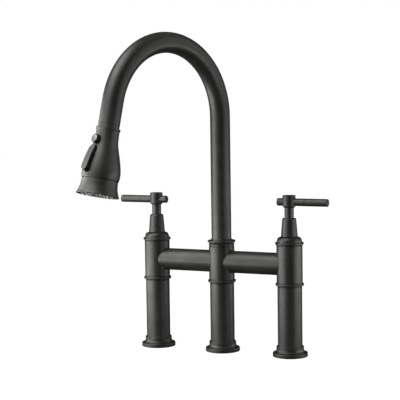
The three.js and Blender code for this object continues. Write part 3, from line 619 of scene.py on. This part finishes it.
def dress_cad_nodes():
    """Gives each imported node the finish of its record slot."""
    finishes = {
        "matte_black": MATTE_BLACK, "spray_shell": SPRAY_BLACK, "dark_plastic": DARK_PLASTIC,
        "button_grey": BUTTON_BLACK, "nozzle_rubber": NOZZLE_GREY, "aerator_grey": AERATOR_GREY,
        "black_rubber": BLACK_RUBBER, "brass": BRASS, "ceramic": CERAMIC, "steel": STEEL,
        "hose_braid": BLACK_RUBBER,
    }
    for part in frame["record"]["subparts"]:
        for place in frame["nodes"][part["node"]].material_slots:
            place.material = finishes[part["material_slot"]]


dress_cad_nodes()


# Legs and posts ------------------------------------------------------------------------------

def make_flange():
    return turned("base_flange", [
        (17.05, 0), (18.2, 0), (18.2, 2.3), (20.4, 2.3), (20.4, 0),
        (24.0, 0, 0.35), (24.0, 5.4, 1.2), (20.0, 5.4, 0.1), (20.0, 5.85, 0.1), (20.55, 5.85, 0.2),
        (20.55, 6.5, 0.25), *bent((20.3, 6.5), (18.8, 6.9), (18.8, 10.9)),
        (18.8, 14.0, 1.4), (17.05, 14.0, 0.2),
    ])


def make_leg():
    return turned("lower_leg", [(14, 0), (16.9, 0), (16.9, 95.6, 0.4), (14, 95.6, 0.2)])


def make_bead_ring():
    return turned("bead_ring", [
        (13.9, 95.7), (16.1, 95.7), (16.1, 96.7, 0.1), (19.5, 96.7, 1.85),
        (19.5, 100.5, 1.85), (17.3, 100.5, 0.15), (17.3, 101.7, 0.1), (13.9, 101.7),
    ])


def make_valve_body():
    return turned("valve_body", [
        (11, 85.9), (13.7, 85.9), (13.7, 101.8), (17.8, 101.8, 0.35),
        (17.8, 152.0, 0.35), (13.1, 152.0), (13.1, 113.0), (11, 113.0),
    ])


def make_bonnet():
    return turned("bonnet", [
        (6.3, 150.2), (12.8, 150.2), (12.8, 152.15), (16.9, 152.15, 0.1), (16.9, 152.9, 0.1),
        (19.5, 152.9, 1.7), (19.5, 156.4, 1.7), (17.0, 156.4, 0.2),
        *bent((17.1, 157.6), (16.9, 163.5), (11.3, 163.8), 12),
        (6.3, 163.8, 0.2),
    ])


def make_bridge_body():
    body = turned("bridge_body_finished", [
        (6.4, 85.9), (13.7, 85.9), (13.7, 101.8), (17.8, 101.8, 0.35),
        (17.8, 147.4, 0.3), (13.9, 147.4), (13.9, 113.0), (6.4, 113.0),
    ])
    return finished(body, "base", MATTE_BLACK, "matte_black", "bridge_body")


def set_at_posts(sources, sides):
    """Sets a copy of each piece at each of the posts."""
    for side in sides:
        for part, source in sources.items():
            piece = moved(copied(source, f"{part}_{side}_finished"), x=POSTS[side])
            finished(piece, "base", MATTE_BLACK, "matte_black", f"{part}_{side}")


def make_posts():
    legs = {"base_flange": make_flange(), "lower_leg": make_leg(), "bead_ring": make_bead_ring()}
    ends = {"valve_body": make_valve_body(), "bonnet": make_bonnet()}
    set_at_posts(legs, POSTS)
    set_at_posts(ends, ("left", "right"))
    for source in (*legs.values(), *ends.values()):
        bpy.data.objects.remove(source)
    make_bridge_body()


# Bridge tubes --------------------------------------------------------------------------------

POST_HOLLOW = 17.82


def make_bridge_tube():
    """A tube along +X from the left post to the centre post, its ends cut to their round walls."""
    tube = turned("bridge_tube", [(13, 1), (15.4, 1), (15.4, 100.6), (13, 100.6)])
    placed(tube, Matrix.Rotation(QUARTER, 4, "Y"))
    moved(tube, x=-LEG_SPACING, z=BRIDGE_Z)
    for x in (-LEG_SPACING, 0):
        post = turned("post_cutter", [(0, 90), (POST_HOLLOW, 90), (POST_HOLLOW, 160), (0, 160)])
        cut_away(tube, moved(post, x=x))
    return tube


def make_bridge():
    left = make_bridge_tube()
    right = moved(copied(left, "bridge_tube_right_finished"), x=LEG_SPACING)
    left.name = "bridge_tube_left_finished"
    finished(left, "base", MATTE_BLACK, "matte_black", "bridge_tube_left")
    finished(right, "base", MATTE_BLACK, "matte_black", "bridge_tube_right")


# Handles -------------------------------------------------------------------------------------

SCREW_Z = 171
LEVER_Z = 210.9
LEVER_SIDES = 64


def make_skirt():
    skirt = turned("handle_skirt", [
        (4.3, 164.1), (11.5, 164.1, 0.5), (9.4, 189.3, 1.9), (4.3, 189.3),
    ])
    hole = turned("screw_cutter", [(0, 4), (2.5, 4), (2.5, 14), (0, 14)], SMALL_SIDES)
    placed(hole, Matrix.Rotation(-QUARTER, 4, "X"))
    return cut_away(skirt, moved(hole, z=SCREW_Z))


def make_hub():
    hub = turned("handle_hub", [
        (0, 177.3), (4, 177.3), (4, 189.0), (6.4, 189.0), (6.4, 203.6, 0.3),
        (7.6, 203.6, 0.5), (8.9, 205.6, 0.6), (8.9, 220.2, 0.8), (0, 220.2),
    ])
    bore = turned("lever_cutter", [(0, -12), (5.32, -12), (5.32, 12), (0, 12)], SMALL_SIDES)
    placed(bore, Matrix.Rotation(QUARTER, 4, "Y"))
    return cut_away(hub, moved(bore, z=LEVER_Z))


def make_lever():
    outline = [(0, -16.8), (5.2, -16.8, 1.1), (5.2, 56, 1.1), (0, 56)]
    lever = turned("lever_rod", outline, LEVER_SIDES)
    placed(lever, Matrix.Rotation(QUARTER, 4, "Y"))
    return moved(lever, z=LEVER_Z)


def make_handles():
    for side, turn in (("left", math.pi), ("right", 0.0)):
        skirt, hub = make_skirt(), make_hub()
        lever = placed(make_lever(), Matrix.Rotation(turn, 4, "Z"))
        for piece, part in ((skirt, "handle_skirt"), (hub, "handle_hub"), (lever, "lever_rod")):
            moved(piece, x=POSTS[side])
            piece.name = f"{part}_{side}_finished"
            finished(piece, f"{side}_handle", MATTE_BLACK, "matte_black", f"{part}_{side}")


make_posts()
make_bridge()
make_handles()


# Spout, modelled pointing along -Y and then turned -------------------------------------------

BEND_ANGLE = math.pi - SPOUT_TILT
SPOUT_RADIUS, SPOUT_BORE = 13.85, 11.6
SPOUT_FOOT, SPOUT_TAIL = 149.0, 31.0
SPOUT_STEPS = 96
DOWN_TAIL = Vector((0, -math.sin(SPOUT_TILT), -math.cos(SPOUT_TILT)))
TO_SPOUT = Matrix.Rotation(SPOUT_TURN, 4, "Z")
BEND_END = Vector((0, -BEND_RADIUS * (1 + math.cos(SPOUT_TILT)),
                   BEND_Z + BEND_RADIUS * math.sin(SPOUT_TILT)))
TO_SPRAY = TO_SPOUT @ Matrix.Translation(BEND_END * MM) @ Matrix.Rotation(-SPOUT_TILT, 4, "X")


def slide_selection(step):
    """Extrudes what is selected by a step in millimetres."""
    bpy.ops.mesh.extrude_region_move(TRANSFORM_OT_translate={"value": tuple(step * MM)})


def tube_round_bend(name, radius, bore, foot, tail, sides, steps):
    """A tube that rises from foot, goes round the spout's bend and runs down its tail."""
    clear_selection()
    bpy.ops.mesh.primitive_circle_add(
        vertices=sides, radius=radius * MM, fill_type="NGON", location=(0, 0, foot * MM))
    obj = bpy.context.object
    obj.name = name
    bpy.ops.object.mode_set(mode="EDIT")
    bpy.ops.mesh.select_all(action="SELECT")
    if bore:
        bpy.ops.mesh.inset(thickness=(radius - bore) * MM, depth=0)
        bpy.ops.mesh.delete(type="ONLY_FACE")
        bpy.ops.mesh.select_all(action="SELECT")
    slide_selection(Vector((0, 0, BEND_Z - foot)))
    bpy.ops.mesh.spin(steps=steps, angle=BEND_ANGLE, center=(0, -BEND_RADIUS * MM, BEND_Z * MM),
                      axis=(-1, 0, 0))
    slide_selection(DOWN_TAIL * tail)
    cleaned()
    bpy.ops.object.transform_apply(location=True, rotation=True, scale=True)
    return obj


def make_gooseneck():
    neck = tube_round_bend("gooseneck_finished", SPOUT_RADIUS, SPOUT_BORE, SPOUT_FOOT, SPOUT_TAIL,
                           TURN_SIDES, SPOUT_STEPS)
    placed(neck, TO_SPOUT)
    return finished(neck, "spout", MATTE_BLACK, "matte_black", "gooseneck")


def make_collar():
    collar = turned("spout_collar_finished", [
        (13.89, 148.6), (17.8, 148.6, 0.3), (17.8, 150.3, 0.3), (16.9, 150.45, 0.1),
        (16.9, 150.95, 0.1), *bent((17.5, 151.0), (17.8, 152.6), (19.2, 153.4), 6),
        (19.45, 153.5, 0.5), (19.4, 155.3, 0.7), (18.5, 155.75, 0.4), (15.0, 155.5, 0.5),
        (14.5, 157.7, 0.5), (13.89, 157.7),
    ])
    return finished(collar, "spout", MATTE_BLACK, "matte_black", "spout_collar")


# Spray head, modelled in its own frame: down its axis is -Z and its front is -Y --------------

GRIP_OUTLINE = [(14.75, -39.2), (14.95, -46), (15.6, -54), (17.6, -62.5), (21.5, -76),
                (24.1, -88), (24.5, -96), (24.1, -99.5)]
BELL_OUTLINE = [(23.1, -103.2), (23.4, -107), (23.9, -111.4), (25.2, -116), (26.2, -119),
                (27.5, -121.5)]
BELL_STEPS = 5
GRIP_WALL = 3.0


def flowing(points, steps=6):
    """A smooth line through the points."""
    given = [Vector(point) for point in points]
    line = [given[0] * 2 - given[1], *given, given[-1] * 2 - given[-2]]
    made = []
    for p, q, r, s in zip(line, line[1:], line[2:], line[3:]):
        for k in range(steps):
            t = k / steps
            made.append(tuple((q * 2 + (r - p) * t + (p * 2 - q * 5 + r * 4 - s) * t * t
                               + (q * 3 - p - r * 3 + s) * t ** 3) / 2))
    return [*made, tuple(given[-1])]


def shelled(outline, wall):
    """The outline's own inner side, from its end back to its start."""
    return [(radius - wall, height) for radius, height in reversed(outline)]


def seat_at(depth, reach, lean):
    """A place in the grip's front, whose +Z points out of the grip."""
    turn = Matrix.Rotation(QUARTER - lean, 4, "X")
    return Matrix.Translation(Vector((0, -reach, -depth)) * MM) @ turn


BUTTON_SEAT = seat_at(depth=53, reach=15.45, lean=0.14)
ROCKER_SEAT = seat_at(depth=79, reach=19.6, lean=0.31)


def make_oblong(name, half_width, length, low, high):
    """A block with round ends, drawn lying along Y."""
    clear_selection()
    bpy.ops.mesh.primitive_circle_add(
        vertices=SMALL_SIDES, radius=half_width * MM, fill_type="NGON", location=(0, 0, low * MM))
    obj = bpy.context.object
    obj.name = name
    bpy.ops.object.mode_set(mode="EDIT")
    bpy.ops.mesh.select_all(action="DESELECT")
    bpy.ops.object.mode_set(mode="OBJECT")
    for vertex in obj.data.vertices:
        vertex.select = vertex.co.y > 0
    bpy.ops.object.mode_set(mode="EDIT")
    bpy.ops.transform.translate(value=(0, (length / 2 - half_width) * MM, 0))
    bpy.ops.mesh.select_all(action="INVERT")
    bpy.ops.transform.translate(value=(0, (half_width - length / 2) * MM, 0))
    bpy.ops.mesh.select_all(action="SELECT")
    slide_selection(Vector((0, 0, high - low)))
    cleaned()
    return obj


def make_grip():
    grip = turned("spray_grip_finished", [
        (8.95, -31.2), (13.7, -31.2, 0.3), (13.7, -35.3, 0.2), (15.6, -35.6, 0.9),
        (15.6, -38.0, 0.9), *flowing(GRIP_OUTLINE), (23.7, -102.0, 0.8), (21.45, -102.0),
        (21.45, -94.8), *shelled(flowing(GRIP_OUTLINE)[8:-8], GRIP_WALL), (8.95, -45.2),
    ])
    hole = turned("button_cutter", [(0, -6), (6.15, -6), (6.15, 6), (0, 6)], SMALL_SIDES)
    cut_away(grip, placed(hole, BUTTON_SEAT))
    slot = make_oblong("rocker_cutter", half_width=5.45, length=36.9, low=-9.8, high=9.8)
    cut_away(grip, placed(slot, ROCKER_SEAT))
    placed(grip, TO_SPRAY)
    return finished(grip, "spray_head", SPRAY_BLACK, "spray_shell", "spray_grip")


def make_button():
    barrel = turned("spray_button_finished", [
        (0, -8.1), (2, -8.1), (2, -2.6), (5.5, -2.6, 0.2), (5.5, 4.9, 0.9), (4.55, 4.9, 0.1),
        (4.55, 4.3), (0, 4.3),
    ], SMALL_SIDES)
    placed(barrel, TO_SPRAY @ BUTTON_SEAT)
    # The barrel, whose side shows in the grip's hole, takes the near-black painted shade; the face
    # below gets the grey
    finished(barrel, "button", SHADE_PAINT_BLACK, "button_grey", "spray_button")
    face = turned("button_face", [
        (0, 4.35), (4.5, 4.35), (4.5, 5.05, 0.25), *bent((3.9, 5.0), (2.5, 4.6), (0, 4.6), 6),
    ], SMALL_SIDES)
    placed(face, TO_SPRAY @ BUTTON_SEAT)
    return finished(face, "button", BUTTON_GREY, "button_grey")


SPRING_RADIUS = 3.2
SPRING_WIRE = 0.35
SPRING_FOOT, SPRING_TOP = -5.15, -3.25
SPRING_TURNS = 2
SPRING_STEPS = 32 * SPRING_TURNS


def make_spring():
    """The coil behind the button; the real one shortens as the button is pressed."""
    curve = bpy.data.curves.new("button_spring_finished", "CURVE")
    curve.dimensions = "3D"
    curve.bevel_depth = SPRING_WIRE * MM
    curve.bevel_resolution = 3
    curve.use_fill_caps = True
    coil = curve.splines.new("POLY")
    coil.points.add(SPRING_STEPS)
    for i, point in enumerate(coil.points):
        angle = FULL_TURN * SPRING_TURNS * i / SPRING_STEPS
        height = SPRING_FOOT + (SPRING_TOP - SPRING_FOOT) * i / SPRING_STEPS
        at = Vector((SPRING_RADIUS * math.cos(angle), SPRING_RADIUS * math.sin(angle), height)) * MM
        point.co = (*at, 1)
    spring = bpy.data.objects.new("button_spring_finished", curve)
    bpy.context.scene.collection.objects.link(spring)
    pick(spring)
    bpy.ops.object.convert(target="MESH")
    seat = TO_SPRAY @ BUTTON_SEAT
    placed(spring, seat)
    finished(spring, "spray_head", STEEL, "steel", "button_spring")
    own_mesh(spring)
    return spring


ROCKER_TOP = 7.5
ROCKER_ROUNDING = 0.9
ARCH_RADIUS = 120.0
ARCH_SIDES = 256

# A face of the rocker whose normal leans less than this towards the front is a side, and gets the
# near-black painted shade
FRONT_SHARE = 0.6


def make_rocker():
    """A bar with round ends and an arched front, dark grey, its sides near-black with painted shade
    from the recess.
    """
    rocker = make_oblong("mode_rocker_finished", half_width=4.75, length=35.6, low=-2.4, high=9.0)
    block = [(0, -20), (ARCH_RADIUS, -20), (ARCH_RADIUS, 20), (0, 20)]
    arch = turned("arch_cutter", block, ARCH_SIDES)
    placed(arch, Matrix.Rotation(QUARTER, 4, "Y"))
    cut_away(rocker, moved(arch, z=ROCKER_TOP - ARCH_RADIUS), "INTERSECT")
    bevelled(rocker, ROCKER_ROUNDING)
    placed(rocker, TO_SPRAY @ ROCKER_SEAT)
    finished(rocker, "rocker", BUTTON_BLACK, "button_grey", "mode_rocker")
    # The sides get the near-black painted shade of the recess; the front keeps the dark grey
    front = (TO_SPRAY @ ROCKER_SEAT).to_3x3() @ Vector((0, 0, 1))
    rocker.data.materials.append(SHADE_PAINT_BLACK)
    for face in rocker.data.polygons:
        face.material_index = 0 if face.normal.dot(front) > FRONT_SHARE else 1
    return rocker


def make_bell():
    bell = turned("spray_bell_finished", [
        (19.3, -99.9), (21.1, -99.9), (21.1, -102.35), (23.1, -102.35, 0.3),
        *flowing(BELL_OUTLINE, BELL_STEPS), (27.7, -122.3, 0.4), (25.75, -122.3, 0.2),
        (25.75, -119.1), (22.5, -119.1), (22.5, -117.4), (20.2, -110), (19.6, -104),
    ])
    placed(bell, TO_SPRAY)
    return finished(bell, "spray_head", SPRAY_BLACK, "spray_shell", "spray_bell")


# Spray face, nozzles and aerator --------------------------------------------------------------

# Radius and number of nozzles in each row
NOZZLE_ROWS = ((19.0, 12), (13.0, 8))

AERATOR_FLOOR, RIDGE_TOP = -120.9, -121.7
RIDGE_RADII = (4.7, 3.2, 1.7)
RIDGE_HALF_WIDTH = 0.3
RIDGE_ROUNDING = 0.12


def rows_of(source):
    """Copies of a piece in two rows round the spray head's axis, made one; the source goes."""
    copies = []
    for radius, count in NOZZLE_ROWS:
        for i in range(count):
            turn = Matrix.Rotation(FULL_TURN * i / count, 4, "Z")
            out = Matrix.Translation(Vector((radius * MM, 0, 0)))
            copies.append(placed(copied(source, f"{source.name}_{radius}_{i}"), turn @ out))
    bpy.data.objects.remove(source)
    return joined(copies)


def make_face():
    face = turned("spray_face_finished", [
        (7.3, -119.5), (7.3, -122.4, 0.15), (8.4, -122.4, 0.1), (8.8, -122.1, 0.1),
        (22.6, -122.1, 0.8), (25.4, -121.2, 0.5), (25.4, -119.5, 0.2),
    ])
    hole = turned("nozzle_cutter", [(0, -118), (1.5, -118), (1.5, -124), (0, -124)], NOZZLE_SIDES)
    cut_away(face, rows_of(hole))
    placed(face, TO_SPRAY)
    return finished(face, "spray_head", DARK_PLASTIC, "dark_plastic", "spray_face",
                    angle=FLAT_ANGLE)


def make_nozzles():
    plate = turned("nozzle_ring_finished", [
        (10.5, -117.5, 0.2), (22.2, -117.5, 0.2), (22.2, -119.2, 0.2), (10.5, -119.2, 0.2),
    ])
    nozzle = turned("nozzle", [
        (0, -118.6), (1.4, -118.6), (1.4, -122.2, 0.4), (1.05, -123.2, 0.3), (0.45, -123.2, 0.1),
        (0.4, -121.4), (0, -121.4),
    ], NOZZLE_SIDES)
    ring = placed(joined([plate, rows_of(nozzle)]), TO_SPRAY)
    return finished(ring, "spray_head", NOZZLE_GREY, "nozzle_rubber", "nozzle_ring")


def make_aerator():
    ridges = []
    for radius in RIDGE_RADII:
        outer, inner = radius + RIDGE_HALF_WIDTH, radius - RIDGE_HALF_WIDTH
        ridges += [(outer, AERATOR_FLOOR), (outer, RIDGE_TOP, RIDGE_ROUNDING),
                   (inner, RIDGE_TOP, RIDGE_ROUNDING), (inner, AERATOR_FLOOR)]
    cup = turned("aerator_finished", [
        (0, -113.1), (7, -113.1, 0.3), (7, -122.1, 0.3), (5.9, -122.1, 0.3),
        (5.9, AERATOR_FLOOR), *ridges, (0, AERATOR_FLOOR),
    ], SMALL_SIDES)
    placed(cup, TO_SPRAY)
    return finished(cup, "spray_head", AERATOR_GREY, "aerator_grey", "aerator")


# Hose: it lies in the spout at rest; on the real faucet it is drawn out with the spray head
# ---------

HOSE_RADIUS = 4.75
HOSE_FOOT, HOSE_TAIL = 6.3, 1.0
HOSE_STEPS = 72

# The end below the run is a row of rings half a millimetre apart
END_RINGS, RINGS_PER_MM = 47, 2
END_DEPTH = 23.7

# The woven sleeve: strands round the hose, waves per metre along it, and its relief in metres
STRANDS = 8.0
WEAVE_PITCH = 1700.0
WEAVE_RELIEF = 0.00025


def braided():
    """A woven sleeve, its two sets of strands winding round the axis of the spray head."""
    material, nodes, links, shader, place = new_finish("woven_hose_sleeve")
    axis = nodes.new("ShaderNodeMapping")
    axis.vector_type = "TEXTURE"
    axis.inputs["Location"].default_value = TO_SPRAY.translation
    axis.inputs["Rotation"].default_value = TO_SPRAY.to_euler()
    links.new(place, axis.inputs["Vector"])
    parts = nodes.new("ShaderNodeSeparateXYZ")
    links.new(axis.outputs["Vector"], parts.inputs["Vector"])
    around = summed(nodes, links, parts.outputs["Y"], parts.outputs["X"], "ARCTAN2")
    strands = summed(nodes, links, around, STRANDS, "MULTIPLY")
    along = summed(nodes, links, parts.outputs["Z"], WEAVE_PITCH, "MULTIPLY")
    winding = summed(nodes, links, summed(nodes, links, strands, along), 0.0, "SINE")
    crossing = summed(nodes, links, summed(nodes, links, strands, along, "SUBTRACT"), 0.0, "SINE")
    weave = summed(nodes, links, winding, crossing, "MAXIMUM")
    cloud = speckle(nodes, links, place, 160.0, 3.0)
    share = summed(nodes, links, between(nodes, links, weave, 0.0, 0.7, -0.2, 1.0),
                   between(nodes, links, cloud, 0.0, 0.3))
    base = tinted(nodes, links, share, (0.012, 0.012, 0.013), (0.075, 0.075, 0.078))
    links.new(base, shader.inputs["Base Color"])
    links.new(between(nodes, links, cloud, 0.42, 0.6), shader.inputs["Roughness"])
    bumped(nodes, links, shader, weave, 0.6, WEAVE_RELIEF)
    return material


def make_hose():
    """The run inside the spout, and the end below it, made of close rings and taken off its body.
    """
    sleeve = braided()
    run = tube_round_bend("spray_hose_run", HOSE_RADIUS, 0, HOSE_FOOT, HOSE_TAIL,
                          HOSE_SIDES, HOSE_STEPS)
    placed(run, TO_SPOUT)
    finished(run, "spout", sleeve, "hose_braid", "spray_hose")
    rings = [(HOSE_RADIUS, -i / RINGS_PER_MM) for i in range(END_RINGS)]
    outline = [(0, 0), *rings, (HOSE_RADIUS, -END_DEPTH), (0, -END_DEPTH)]
    end = turned("spray_hose_end", outline, HOSE_SIDES)
    placed(end, TO_SPRAY)
    finished(end, "spout", sleeve, "hose_braid", "spray_hose")
    bpy.ops.object.parent_clear(type="CLEAR_KEEP_TRANSFORM")
    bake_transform(end)


def make_hose_nut():
    nut = turned("hose_nut_finished", [
        (5.1, -10.0), (7.6, -10.0, 0.5), (8.6, -11.2, 0.3), (8.6, -14.2, 0.4), (7.9, -14.2, 0.2),
        (7.9, -15.4, 0.2), (8.6, -15.4, 0.4), (8.6, -27.0, 0.4), (8.0, -27.0, 0.2),
        (8.0, -28.4, 0.2), (8.6, -28.4, 0.4), (8.6, -45.1, 0.3), (3.5, -45.1), (3.5, -24.1),
        (5.1, -24.1),
    ])
    placed(nut, TO_SPRAY)
    return finished(nut, "spray_head", BRASS, "brass", "hose_nut")


make_gooseneck()
make_collar()
make_grip()
make_button()
make_spring()
make_rocker()
make_bell()
make_face()
make_nozzles()
make_aerator()
make_hose()
make_hose_nut()
